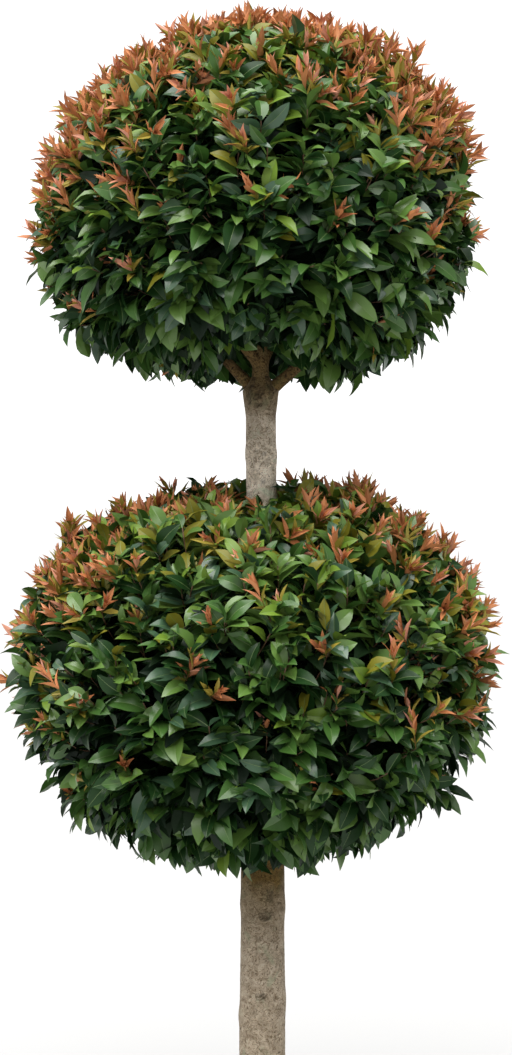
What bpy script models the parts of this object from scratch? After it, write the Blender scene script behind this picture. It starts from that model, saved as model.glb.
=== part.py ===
"""A clipped double-ball eugenia on one bare stem, rooted in level ground.

Metres, +Z up. The origin is the middle of the stem's flat cut at ground level, and -Y is the side from which
the fork shows best. The stem runs up through the lower head and ends inside the upper one. Four boughs leave
its fork and end inside the upper head. Each head is one clipped mass: a core, with forked twigs that stand
out of it on all sides and bear leaves whose tips end on the clipped surface.
"""

import math
import random
from collections import namedtuple

import bmesh
import bpy
import numpy as np
from mathutils import Matrix, Vector

# Every solid keeps this gap to its neighbour.
CLEARANCE = 0.0003

# The stem: its radius at a few heights, with straight tapers between them. The foot spreads into the roots.
STEM_HEIGHTS = (0.0, 0.52, 1.04, 1.172, 1.207, 1.228, 1.256, 1.34)
STEM_RADII = (0.0352, 0.0306, 0.0216, 0.0212, 0.0256, 0.0122, 0.0112, 0.0085)
STEM_LEAN = -0.0025
STEM_SWAY = 0.0016
STEM_SIDES = 20
ROOT_FLARE = 0.019
ROOT_FLARE_HEIGHT = 0.032
ROOT_LOBES = 5
ROOT_LOBE_DEPTH = 0.30

# The boughs: where each leaves the stem, the way it bends, and where it ends in the upper head.
Bough = namedtuple("Bough", "name leaves_at bend tip root_radius tip_radius")
BOUGHS = (
    Bough("bough_left", 1.199, (-0.031, 0.004, 1.229), (-0.098, 0.012, 1.302), 0.0090, 0.0062),
    Bough("bough_right", 1.200, (0.031, -0.006, 1.220), (0.112, -0.012, 1.300), 0.0092, 0.0062),
    Bough("bough_centre_left", 1.244, (-0.024, -0.016, 1.268), (-0.072, -0.036, 1.316), 0.0078, 0.0056),
    Bough("bough_centre_right", 1.248, (0.018, 0.014, 1.278), (0.046, 0.044, 1.330), 0.0078, 0.0056),
)
BOUGH_POINTS = 9
BOUGH_BEVEL = 2

# The heads: each is a body of revolution whose profile is a superellipse, fuller than an ellipse where its
# squareness is over 2. Its widest level is at the centre. A dip is a shallow hollow in the clipped surface,
# given as an azimuth, an elevation and a spread in degrees, and a depth, which is below zero where the
# surface swells.
Head = namedtuple("Head", "name centre half_width rise drop square_top square_foot dips seed")
LOWER_HEAD = Head("lower_head", (-0.0115, 0.0, 0.831), 0.349, 0.266, 0.312, 2.2, 2.25,
                  ((-90.0, 74.0, 20.0, 0.026), (180.0, 62.0, 18.0, 0.013), (0.0, 60.0, 18.0, -0.010),
                   (0.0, -46.0, 13.0, 0.022), (180.0, -50.0, 14.0, -0.008), (0.0, -90.0, 30.0, 0.014)), 11)
UPPER_HEAD = Head("upper_head", (-0.002, 0.0, 1.467), 0.321, 0.2775, 0.270, 1.85, 2.5,
                  ((-90.0, -60.0, 22.0, 0.058), (90.0, -62.0, 20.0, -0.004), (0.0, -90.0, 20.0, 0.036),
                   (180.0, 58.0, 14.0, 0.008), (0.0, 66.0, 14.0, -0.006), (180.0, -14.0, 20.0, -0.012),
                   (0.0, -20.0, 16.0, 0.010), (180.0, -56.0, 12.0, 0.008)), 23)

# The core lies this far under the clipped surface.
CORE_DEPTH = 0.048
CORE_SEGMENTS = 20
CORE_RINGS = 13

# The twigs: main ones stand out of the core, and each forks once into a smaller side twig. Every twig bears
# leaves at the given shares of its length, and each leaf takes the freest of a few ways round the twig.
SPRIGS = 40
SPRIG_SCATTER = 0.05
TWIG_ORDERS = 2
TWIG_SHRINK = 0.85
TWIG_SUNK = 0.014
TWIG_LENGTH = 0.036
TWIG_ROOT_RADIUS = 0.0040
TWIG_TIP_RADIUS = 0.0030
TWIG_DROOP = 0.22
FORK_AT = 0.15
FORK_SPREAD = 2.2
LEAVES_AT = (0.40, 0.68, 0.95)
LEAF_WAYS = 10
LEAF_LENGTH = 0.090
LEAF_WIDTH = 0.044
LEAF_THICKNESS = 0.0030
LEAF_WIDEST = 0.45
LEAF_ARCH = 0.010
LEAF_FOLD = 0.004
LEAF_SUNK = 0.0004
LIMB_MARGIN = 0.004


def clear_scene():
    """Removes every object, so that the model starts from nothing."""
    for old in list(bpy.data.objects):
        bpy.data.objects.remove(old)


def make_collection(name):
    """A new collection in the scene."""
    made = bpy.data.collections.new(name)
    bpy.context.scene.collection.children.link(made)
    return made


def make_material(name, colour, roughness):
    """A Principled BSDF with a plain colour."""
    made = bpy.data.materials.new(name)
    made.use_nodes = True
    shader = made.node_tree.nodes["Principled BSDF"]
    shader.inputs["Base Color"].default_value = (*colour, 1.0)
    shader.inputs["Roughness"].default_value = roughness
    shader.inputs["Metallic"].default_value = 0.0
    return made


def object_from(bm, name, home, material=None):
    """Closes a bmesh into an object in the collection home."""
    bmesh.ops.recalc_face_normals(bm, faces=bm.faces)
    mesh = bpy.data.meshes.new(name)
    bm.to_mesh(mesh)
    bm.free()
    made = bpy.data.objects.new(name, mesh)
    home.objects.link(made)
    if material is not None:
        mesh.materials.append(material)
    return made


def stem_centre(height):
    """The stem's axis: a slight lean with one gentle sway, upright at the ground."""
    share = height / STEM_HEIGHTS[-1]
    lean = STEM_LEAN * share**2 + STEM_SWAY * math.sin(math.pi * share) ** 2
    return Vector((lean, STEM_SWAY * math.sin(math.tau * share), height))


def stem_radius(height, angle):
    """Straight tapers, with the root flare dying away upwards and parted into lobes."""
    flare = ROOT_FLARE * math.exp(-height / ROOT_FLARE_HEIGHT)
    lobes = 1.0 + ROOT_LOBE_DEPTH * math.cos(ROOT_LOBES * angle + 0.6)
    return float(np.interp(height, STEM_HEIGHTS, STEM_RADII)) + flare * lobes


def stem_levels():
    """Heights of the sections: close together in the root flare and at the fork, wide apart between."""
    flare = [ROOT_FLARE_HEIGHT * step * step / 6.0 for step in range(6)]
    shaft = [0.26, 0.39, 0.52, 0.69, 0.87, 1.04, 1.10]
    fork = [1.172, 1.190, 1.207, 1.217, 1.228, 1.256]
    return flare + shaft + fork + [STEM_HEIGHTS[-1]]


def loft_stem(name, home, extra=0.0, material=None):
    """The stem as a loft through level sections, wider all round by extra and capped flat at both ends."""
    bm = bmesh.new()
    rings = []
    for height in stem_levels():
        centre = stem_centre(height)
        ring = []
        for side in range(STEM_SIDES):
            angle = math.tau * side / STEM_SIDES
            radius = stem_radius(height, angle) + extra
            out = Vector((math.cos(angle), math.sin(angle), 0.0))
            ring.append(bm.verts.new(centre + out * radius))
        rings.append(ring)
    if extra:
        for vertex in rings[-1]:
            vertex.co.z += extra
    for low, high in zip(rings, rings[1:]):
        for side in range(STEM_SIDES):
            after = (side + 1) % STEM_SIDES
            bm.faces.new((low[side], low[after], high[after], high[side]))
    bm.faces.new(list(reversed(rings[0])))
    bm.faces.new(rings[-1])
    return object_from(bm, name, home, material)


def bough_path(bough):
    """Points along a bough: a quadratic curve from the stem's axis, past its bend, to its tip."""
    start, bend, tip = stem_centre(bough.leaves_at), Vector(bough.bend), Vector(bough.tip)
    steps = [index / (BOUGH_POINTS - 1) for index in range(BOUGH_POINTS)]
    return [start * (1 - t) ** 2 + bend * (2 * t * (1 - t)) + tip * t**2 for t in steps]


def bough_radii(bough):
    """An even taper from a bough's root to its tip."""
    return [float(r) for r in np.linspace(bough.root_radius, bough.tip_radius, BOUGH_POINTS)]


def tube(name, points, radii, home, material=None):
    """A tapering tube, drawn as a bevelled curve and then made a mesh with welded caps."""
    curve = bpy.data.curves.new(name, "CURVE")
    curve.dimensions = "3D"
    curve.bevel_depth = 1.0
    curve.bevel_resolution = BOUGH_BEVEL
    curve.use_fill_caps = True
    spline = curve.splines.new("POLY")
    spline.points.add(len(points) - 1)
    for target, place, radius in zip(spline.points, points, radii):
        target.co = (*place, 1.0)
        target.radius = radius
    drawn = bpy.data.objects.new(name + "_curve", curve)
    home.objects.link(drawn)
    graph = bpy.context.evaluated_depsgraph_get()
    mesh = bpy.data.meshes.new_from_object(drawn.evaluated_get(graph))
    mesh.transform(drawn.matrix_world)
    bpy.data.objects.remove(drawn)
    bm = bmesh.new()
    bm.from_mesh(mesh)
    bmesh.ops.remove_doubles(bm, verts=bm.verts, dist=0.00001)
    bpy.data.meshes.remove(mesh)
    return object_from(bm, name, home, material)


def bough_tube(bough, home, extra=0.0, material=None):
    """A bough's tube. With extra it is wider and longer, as a cutter that leaves that gap all round."""
    points = bough_path(bough)
    radii = bough_radii(bough)
    if extra:
        points[-1] = points[-1] + (points[-1] - points[-2]).normalized() * extra
        # A flat side lies nearer the axis than its corners do, so the corners go out a little more.
        radii = [radius + extra / math.cos(math.pi / (4 + 2 * BOUGH_BEVEL)) for radius in radii]
    return tube(bough.name, points, radii, home, material)


def apply_boolean(target, operation, operand=None, collection=None):
    """Joins or cuts target by an object or by a whole collection, and applies the result to its mesh."""
    modifier = target.modifiers.new(operation.title(), "BOOLEAN")
    modifier.operation = operation
    modifier.solver = "MANIFOLD"
    if collection is not None:
        modifier.operand_type = "COLLECTION"
        modifier.collection = collection
    else:
        modifier.object = operand
    graph = bpy.context.evaluated_depsgraph_get()
    mesh = bpy.data.meshes.new_from_object(target.evaluated_get(graph))
    target.modifiers.clear()
    old = target.data
    target.data = mesh
    bpy.data.meshes.remove(old)


def signed_volume(faces):
    """Volume inside a closed set of triangles, below zero where they face inwards."""
    total = 0.0
    for face in faces:
        a, b, c = (vertex.co for vertex in face.verts)
        total += a.dot(b.cross(c)) / 6.0
    return total


def keep_main_body(target):
    """Drops loose scraps and fills the hollows that fusing has sealed: only the largest shell is kept."""
    bm = bmesh.new()
    bm.from_mesh(target.data)
    bmesh.ops.triangulate(bm, faces=bm.faces)
    unseen = set(bm.faces)
    shells = []
    while unseen:
        shell, rim = set(), [unseen.pop()]
        while rim:
            face = rim.pop()
            shell.add(face)
            for edge in face.edges:
                for near in edge.link_faces:
                    if near in unseen:
                        unseen.discard(near)
                        rim.append(near)
        shells.append(shell)
    main = max(shells, key=signed_volume)
    doomed = [face for shell in shells if shell is not main for face in shell]
    bmesh.ops.delete(bm, geom=doomed, context="FACES")
    bm.to_mesh(target.data)
    bm.free()


def cut_clear(target, cutters):
    """Cuts each cutter out of target, drops what comes loose, and removes the cutters."""
    for cutter in cutters:
        apply_boolean(target, "DIFFERENCE", operand=cutter)
        bpy.data.objects.remove(cutter)
    keep_main_body(target)


def surface_distance(head, way):
    """How far the clipped surface is from the head's centre along a unit direction."""
    squareness = head.square_top if way.z > 0 else head.square_foot
    height = head.rise if way.z > 0 else head.drop
    flat = math.hypot(way.x, way.y) / head.half_width
    reach = (flat**squareness + (abs(way.z) / height) ** squareness) ** (-1.0 / squareness)
    for azimuth, elevation, spread, depth in head.dips:
        a, e = math.radians(azimuth), math.radians(elevation)
        middle = Vector((math.cos(e) * math.cos(a), math.cos(e) * math.sin(a), math.sin(e)))
        apart = math.degrees(way.angle(middle)) / spread
        reach -= depth * math.exp(-apart * apart)
    return reach


def depth_of(head, place):
    """How far a point lies under the clipped surface, along the line from the head's centre."""
    out = place - Vector(head.centre)
    return surface_distance(head, out.normalized()) - out.length


def outward(head, way):
    """The clipped surface's outward normal along a direction, from two nearby points on the surface."""
    side = way.orthogonal().normalized()
    other = way.cross(side)
    step = 0.02
    here, by_side, by_other = (
        near * surface_distance(head, near) for near in (way, (way + side * step).normalized(),
                                                         (way + other * step).normalized())
    )
    return (by_side - here).cross(by_other - here).normalized()


def core(head, home, material):
    """The head's dense inside: a sphere drawn out to the clipped surface's shape, CORE_DEPTH under it."""
    bm = bmesh.new()
    bmesh.ops.create_uvsphere(bm, u_segments=CORE_SEGMENTS, v_segments=CORE_RINGS, radius=1.0)
    for vertex in bm.verts:
        way = vertex.co.normalized()
        vertex.co = Vector(head.centre) + way * (surface_distance(head, way) - CORE_DEPTH)
    return object_from(bm, head.name, home, material)


def sites(head, count, scatter):
    """Directions spread evenly over a sphere by the golden angle, each moved a little by the head's seed."""
    chance = random.Random(head.seed)
    golden = math.pi * (3.0 - math.sqrt(5.0))
    for index in range(count):
        level = 1.0 - 2.0 * (index + 0.5) / count
        turn = golden * index
        flat = math.sqrt(1.0 - level * level)
        way = Vector((flat * math.cos(turn), flat * math.sin(turn), level))
        way += Vector([chance.uniform(-scatter, scatter) for _ in range(3)])
        yield way.normalized()


def limbs_near(place, margin):
    """True where a point lies within margin of the stem or of a bough."""
    top = min(max(place.z, 0.0), STEM_HEIGHTS[-1])
    centre = stem_centre(top)
    if (place - centre).length < stem_radius(top, 0.0) + margin:
        return True
    for bough in BOUGHS:
        for point, radius in zip(bough_path(bough), bough_radii(bough)):
            if (place - point).length < radius + margin:
                return True
    return False


def twig_between(root, tip, root_radius, tip_radius, home):
    """A three-sided tapering twig."""
    way = tip - root
    place = Matrix.Translation((root + tip) / 2) @ way.to_track_quat("Z", "Y").to_matrix().to_4x4()
    bm = bmesh.new()
    bmesh.ops.create_cone(bm, cap_ends=True, cap_tris=True, segments=3, radius1=root_radius,
                          radius2=tip_radius, depth=way.length, matrix=place)
    return object_from(bm, "twig", home)


def leaf_corners(root, way, face):
    """A leaf's six corners: root, tip, two sides, and the middle of its upper and lower faces.

    The blade runs from root along way, its upper side towards face. It arches up between its ends, and both
    halves fold up a little from the midrib.
    """
    side = way.cross(face).normalized()
    up = side.cross(way).normalized()
    middle = root + way * (LEAF_LENGTH * LEAF_WIDEST) + up * LEAF_ARCH
    edge = up * LEAF_FOLD
    half = side * (LEAF_WIDTH / 2)
    skin = up * (LEAF_THICKNESS / 2)
    return [root - way * LEAF_SUNK, root + way * LEAF_LENGTH, middle + half + edge, middle - half + edge,
            middle + skin, middle - skin]


def leaf(corners, home):
    """A closed leaf of eight faces on its six corners."""
    bm = bmesh.new()
    root, tip, left, right, above, below = (bm.verts.new(corner) for corner in corners)
    for first, second in ((root, left), (left, tip), (tip, right), (right, root)):
        bm.faces.new((first, second, above))
        bm.faces.new((second, first, below))
    return object_from(bm, "leaf", home)


def leaf_way(head, root, out, along):
    """The way a leaf points: along the surface and just far enough outwards for its tip to end on it."""
    lean = 0.0
    for _ in range(8):
        way = (along + out * lean).normalized()
        lean += depth_of(head, root + way * LEAF_LENGTH) / LEAF_LENGTH * 0.7
    return (along + out * lean).normalized()


def room_round(corners, taken):
    """How far a leaf's tip and middle are from the nearest of those already there."""
    tip, middle = corners[1], corners[4]
    return min((min((tip - other).length, (middle - other).length) for other in taken), default=1.0)


def add_leaf(head, root, out, taken, home):
    """Adds a leaf the freest way round, its tip on the clipped surface.

    A leaf that would leave the space or touch a limb is skipped.
    """
    side = out.orthogonal().normalized()
    other = out.cross(side)
    choices = []
    for step in range(LEAF_WAYS):
        angle = math.tau * step / LEAF_WAYS
        way = leaf_way(head, root, out, side * math.cos(angle) + other * math.sin(angle))
        corners = leaf_corners(root, way, out)
        choices.append((room_round(corners, taken), corners))
    corners = max(choices, key=lambda choice: choice[0])[1]
    if any(limbs_near(corner, LIMB_MARGIN) for corner in corners):
        return
    if any(depth_of(head, corner) < -LEAF_THICKNESS for corner in corners):
        return
    taken += [corners[1], corners[4]]
    leaf(corners, home)


def grow_twig(head, foot, way, turn, order, taken, home):
    """A twig with its leaves, and the smaller side twig that it forks into."""
    size = TWIG_SHRINK**order
    tip = foot + way * (TWIG_LENGTH * size)
    if limbs_near(tip, LIMB_MARGIN) or limbs_near(foot, LIMB_MARGIN + TWIG_ROOT_RADIUS):
        return
    twig_between(foot - way * (TWIG_SUNK * size), tip, TWIG_ROOT_RADIUS * size, TWIG_TIP_RADIUS * size, home)
    out = outward(head, (tip - Vector(head.centre)).normalized())
    for share in LEAVES_AT:
        add_leaf(head, foot.lerp(tip, share), out, taken, home)
    if order + 1 < TWIG_ORDERS:
        side = way.orthogonal().normalized()
        aside = side * math.cos(turn) + way.cross(side) * math.sin(turn)
        fork_way = (way + aside * FORK_SPREAD).normalized()
        grow_twig(head, foot.lerp(tip, FORK_AT), fork_way, turn, order + 1, taken, home)


def grow_head(head, home, material):
    """One clipped mass: the core, with its sprigs fused in and every limb cut clear of it."""
    mass = core(head, home, material)
    sprigs = make_collection(head.name + "_sprigs")
    chance = random.Random(head.seed + 1)
    taken = []
    for site in sites(head, SPRIGS, SPRIG_SCATTER):
        foot = Vector(head.centre) + site * (surface_distance(head, site) - CORE_DEPTH)
        way = (outward(head, site) - Vector((0.0, 0.0, TWIG_DROOP))).normalized()
        grow_twig(head, foot, way, chance.uniform(-math.pi, math.pi), 0, taken, sprigs)
    apply_boolean(mass, "UNION", collection=sprigs)
    for piece in list(sprigs.objects):
        bpy.data.objects.remove(piece)
    bpy.data.collections.remove(sprigs)
    cutters = make_collection(head.name + "_cutters")
    cut_clear(mass, [loft_stem("stem_gap", cutters, CLEARANCE)]
              + [bough_tube(bough, cutters, CLEARANCE) for bough in BOUGHS])
    bpy.data.collections.remove(cutters)
    mass.data.materials.clear()
    mass.data.materials.append(material)


def grow_boughs(home, material):
    """The boughs, each coped round the stem and round the boughs before it."""
    done = []
    cutters = make_collection("bough_cutters")
    for bough in BOUGHS:
        limb = bough_tube(bough, home, material=material)
        cut_clear(limb, [loft_stem("stem_gap", cutters, CLEARANCE)]
                  + [bough_tube(other, cutters, CLEARANCE) for other in done])
        done.append(bough)
    bpy.data.collections.remove(cutters)


def main():
    clear_scene()
    plant = make_collection("eugenia_topiary")
    bark = make_material("bark", (0.262, 0.215, 0.151), 0.85)
    foliage = make_material("foliage", (0.030, 0.062, 0.018), 0.45)
    loft_stem("stem", plant, material=bark)
    grow_boughs(plant, bark)
    for head in (LOWER_HEAD, UPPER_HEAD):
        grow_head(head, plant, foliage)


main()
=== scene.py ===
"""The looks of a clipped double-ball eugenia: a bare stem that carries two flattened balls of leaves, one
above the other, seen against a pale ground. Metres, +Z up, with the foot of the stem at the origin.
"""

import itertools
import math
from collections import namedtuple

import bpy
import numpy as np
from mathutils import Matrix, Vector


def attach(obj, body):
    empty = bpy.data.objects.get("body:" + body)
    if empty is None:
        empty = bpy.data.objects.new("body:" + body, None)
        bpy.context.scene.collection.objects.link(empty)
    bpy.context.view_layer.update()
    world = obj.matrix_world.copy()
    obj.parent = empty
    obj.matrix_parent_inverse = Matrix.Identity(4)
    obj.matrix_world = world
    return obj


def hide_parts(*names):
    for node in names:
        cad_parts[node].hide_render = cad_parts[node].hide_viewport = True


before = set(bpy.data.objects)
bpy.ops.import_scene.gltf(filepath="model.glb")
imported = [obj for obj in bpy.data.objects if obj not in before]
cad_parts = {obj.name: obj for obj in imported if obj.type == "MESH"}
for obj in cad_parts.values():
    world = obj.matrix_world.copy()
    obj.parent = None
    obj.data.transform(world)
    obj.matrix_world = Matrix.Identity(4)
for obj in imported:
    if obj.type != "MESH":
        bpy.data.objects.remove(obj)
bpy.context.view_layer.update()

# The stem is one trunk, bare below and between the heads, that ends at a fork inside the upper head. Its
# bark is thin and matt, beige-grey with fine curling scales, slightly swollen where shoots were rubbed off
# long ago, and scarred where they were cut. The foot spreads into the roots.

STEM_HEIGHTS = (0.0, 0.52, 1.04, 1.172, 1.207, 1.228, 1.256, 1.34)
STEM_RADII = (0.0352, 0.0306, 0.0216, 0.0212, 0.0256, 0.0122, 0.0112, 0.0085)
STEM_TOP = STEM_HEIGHTS[-1]
STEM_LEAN = -0.0025
STEM_SWAY = 0.0016
ROOT_FLARE = 0.019
ROOT_FLARE_HEIGHT = 0.032
ROOT_LOBES = 5
ROOT_LOBE_DEPTH = 0.30
ROOT_LOBE_TURN = 0.6

# The bark's grid: columns, and rows from one height to the next, close where no leaves hide them.
STEM_COLUMNS = 96
STEM_ROWS = ((0.0, 0.60, 300), (0.60, 1.02, 40), (1.02, 1.25, 125), (1.25, 1.34, 12))
# Noises that shape the bark, each as how far it moves the surface and the size of its cells. Scales have two
# sizes of cells, with creases between them.
WARP = (0.012, 0.011)
WAVES = (0.0016, 0.030)
GRAIN = (0.0004, 0.0022)
SCALE_CELLS = (0.0062, 0.0034)
CREASE_DEPTH = 0.0030
CREASE_WIDTH = 0.16
# The foot stays on the ground and the flare keeps its edge, so the relief fades in up to this height.
RELIEF_FROM = 0.02
# Painted shade darkens creases over this depth. The stem's begin this far under its mean relief, and reach
# this darkness.
CREASE_FADE = 0.0008
STEM_CREASES = (-0.0005, 0.5)
# Painted shade, with some olive-brown where bark stays damp: heights, and how much it is darkened there.
# It is darkest just under the lower head, clears between the heads, and deepens again towards the fork.
SHADE_STAINS = ((0.0, 0.71), (0.30, 0.66), (0.38, 0.63), (0.42, 0.65), (0.467, 0.78), (0.495, 0.86), (0.513, 0.94),
          (0.525, 1.0), (0.98, 1.0), (1.04, 0.19), (1.06, 0.0), (1.10, 0.0), (1.12, 0.14), (1.15, 0.35),
          (1.162, 0.44), (1.176, 0.70), (1.190, 0.84), (1.204, 0.87), (1.216, 0.94), (1.230, 0.97))
# The painted shade's edges streak up and down, and lie lower at the front, in step with the azimuth's sine.
STREAKS = (0.024, 0.010)
SHADE_STAIN_TILT = 0.008
SHADE_STAIN_SINE = -0.4

# A scar is a cut shoot's mark: its height, its azimuth in degrees, its size, how much taller than wide it
# is, and how dark it has stayed.
Scar = namedtuple("Scar", "height azimuth size tallness darkness")
SCARS = (
    Scar(1.202, -101.0, 0.0082, 0.9, 0.95),
    Scar(1.187, -97.0, 0.0062, 0.45, 0.95),
    Scar(1.122, -104.0, 0.0026, 0.7, 0.60),
    Scar(1.119, -78.0, 0.0030, 0.8, 0.55),
    Scar(1.080, -84.0, 0.0030, 1.5, 0.60),
    # These two mark no cuts: they paint shade into the creases where the boughs leave the stem.
    Scar(1.208, -129.0, 0.0040, 4.6, 0.95),
    Scar(1.209, -54.0, 0.0040, 4.2, 0.95),
    Scar(0.498, -70.0, 0.0040, 1.7, 0.85),
    Scar(0.470, -84.0, 0.0082, 0.7, 0.85),
    Scar(0.438, -98.0, 0.0034, 1.1, 0.45),
    Scar(0.408, -80.0, 0.0036, 1.2, 0.50),
    Scar(0.357, -94.0, 0.0064, 0.9, 0.85),
    Scar(0.372, -30.0, 0.0050, 1.0, 0.45),
    Scar(0.334, -108.0, 0.0030, 1.3, 0.40),
    Scar(0.250, -60.0, 0.0060, 1.1, 0.45),
    Scar(0.445, 60.0, 0.0060, 1.0, 0.50),
    Scar(0.300, 130.0, 0.0052, 1.4, 0.50),
    Scar(0.160, 20.0, 0.0058, 1.0, 0.45),
    Scar(1.150, 75.0, 0.0045, 1.3, 0.50),
)
# Old cuts have healed in rings: how strong each is, its radius and its breadth, by the scar's size.
SCAR_HOLLOW = (0.30, 0.0, 0.6)
SCAR_LIP = (0.22, 1.15, 0.35)
SCAR_DARK_MIDDLE = (1.0, 0.0, 0.48)
SCAR_DARK_CRACK = (0.9, 0.95, 0.15)
# Two noises make the rings uneven. The first one's cells are a share of the scar's size.
SCAR_WOBBLE = 0.7
SCAR_WOBBLE_CELL = 0.6
SCAR_CRUMBLE = (0.5, 0.0016)

# A swelling: its height, its azimuth in degrees, how far it stands out, and its spread along the stem.
Swelling = namedtuple("Swelling", "height azimuth rise spread")
SWELLINGS = (
    Swelling(0.478, 0.0, 0.0016, 0.016),
    Swelling(0.482, 180.0, 0.0012, 0.013),
    Swelling(0.322, 180.0, 0.0018, 0.012),
    Swelling(0.345, 0.0, 0.0016, 0.020),
    Swelling(1.116, 0.0, 0.0013, 0.012),
    Swelling(1.118, 180.0, 0.0012, 0.012),
    Swelling(1.195, -90.0, 0.0022, 0.016),
    Swelling(0.120, -70.0, 0.0020, 0.030),
)
# How far a swelling spreads round the stem, in radians.
SWELLING_SPREAD_ROUND = 0.9




def unit(vectors):
    """Vectors made one long."""
    return vectors / np.linalg.norm(vectors, axis=-1, keepdims=True)


def smooth_noise(points, cell, seed):
    """Smooth random values from 0 to 1. Each corner of a lattice of that cell size has a hashed value of 16
    bits, by large factors, and a point blends the eight round it by the smoothstep of its place between
    them."""
    place = points / cell
    low = np.floor(place).astype(np.int64)
    part = place - low
    part = part * part * (3.0 - 2.0 * part)
    total = np.zeros(points.shape[:-1])
    for corner in itertools.product((0, 1), repeat=3):
        scattered = (low + corner) * (73856093, 19349663, 83492791)
        mixed = np.bitwise_xor.reduce(scattered, axis=-1) ^ (seed * 2654435)
        mixed = (mixed ^ (mixed >> 13)) * 1274126177
        value = ((mixed >> 8) & 0xFFFF) / 0xFFFF
        total += value * np.prod(np.where(corner, part, 1.0 - part), axis=-1)
    return total


def uneven(points, amount, cell, seed):
    """Smooth random values, at most half the amount above or below 0."""
    return amount * (smooth_noise(points, cell, seed) - 0.5)


def stem_centre(height):
    """The stem's axis at each height: a slight lean with one gentle sway, upright at the ground."""
    share = height / STEM_TOP
    lean = STEM_LEAN * share**2 + STEM_SWAY * np.sin(math.pi * share) ** 2
    return np.stack([lean, STEM_SWAY * np.sin(math.tau * share), height], axis=-1)


def stem_radius(height, angle):
    """Straight tapers, with the root flare dying away upwards and parted into lobes."""
    flare = ROOT_FLARE * np.exp(-height / ROOT_FLARE_HEIGHT)
    lobes = 1.0 + ROOT_LOBE_DEPTH * np.cos(ROOT_LOBES * angle + ROOT_LOBE_TURN)
    return np.interp(height, STEM_HEIGHTS, STEM_RADII) + flare * lobes


def bark_relief(points):
    """How far bark stands out at each point: broad waves, less creases, plus grain. A crease lies where the
    distances of two warped noises from a half, the finer one halved, add up to less than its width."""
    warp = np.stack([uneven(points, *WARP, seed) for seed in (3, 4, 5)], axis=-1)
    warped = points * (1.0, 1.0, 0.75) + warp
    coarse, fine = (np.abs(uneven(warped, 1.0, cell, seed)) for cell, seed in zip(SCALE_CELLS, (7, 8)))
    creases = CREASE_DEPTH * np.clip(CREASE_WIDTH - (coarse + 0.5 * fine), 0.0, 1.0)
    return uneven(points * (1.0, 1.0, 0.4), *WAVES, 6) - creases + uneven(points, *GRAIN, 9)


def crease_shade(relief, level, darkness):
    """Painted shade in creases: 0 above a level of relief, rising evenly to the darkness below it."""
    return np.clip(level - relief, 0.0, CREASE_FADE) / CREASE_FADE * darkness


def ring(apart, strength, radius, breadth):
    """A round ridge: its strength, times e to minus the square of how many breadths off its radius."""
    return strength * np.exp(-(((apart - radius) / breadth) ** 2))


def round_from(azimuth, angle):
    """How far round the stem angles are from an azimuth in degrees, at most half a turn."""
    return (angle - math.radians(azimuth) + math.pi) % math.tau - math.pi


def tube_triangles(rows, columns):
    """Triangles of a closed tube: a grid that wraps round, and a fan to a pole at either end. The poles come
    after the grid's points."""
    row, column = np.meshgrid(np.arange(rows - 1), np.arange(columns), indexing="ij")
    a = (row * columns + column).ravel()
    b = (row * columns + (column + 1) % columns).ravel()
    around = np.arange(columns)
    after = (around + 1) % columns
    top = (rows - 1) * columns
    foot_pole = np.full(columns, rows * columns)
    return np.concatenate([
        np.stack([a, b, b + columns], axis=-1),
        np.stack([a, b + columns, a + columns], axis=-1),
        np.stack([after, around, foot_pole], axis=-1),
        np.stack([around + top, after + top, foot_pole + 1], axis=-1),
    ])


def new_piece(name, points, triangles, materials, shades=None):
    """A smooth-shaded mesh from arrays of points and triangles. shades gives each triangle's material."""
    mesh = bpy.data.meshes.new(name)
    mesh.vertices.add(len(points))
    mesh.vertices.foreach_set("co", points.astype(np.float32).ravel())
    mesh.loops.add(triangles.size)
    mesh.loops.foreach_set("vertex_index", triangles.astype(np.int32).ravel())
    mesh.polygons.add(len(triangles))
    mesh.polygons.foreach_set("loop_start", np.arange(0, triangles.size, 3, dtype=np.int32))
    for material in materials:
        mesh.materials.append(material)
    if shades is not None:
        mesh.polygons.foreach_set("material_index", shades.astype(np.int32))
    mesh.polygons.foreach_set("use_smooth", np.ones(len(triangles), dtype=bool))
    mesh.update(calc_edges=True)
    piece = bpy.data.objects.new(name, mesh)
    bpy.context.scene.collection.objects.link(piece)
    return piece


def add_values(piece, name, values):
    """A float for each point of a piece, which a material reads by name."""
    layer = piece.data.attributes.new(name, "FLOAT", "POINT")
    layer.data.foreach_set("value", values.astype(np.float32))


def stand_for(piece, node):
    """The piece is shown in place of a solid, and moves with the plant."""
    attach(piece, "root")
    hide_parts(node)





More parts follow.
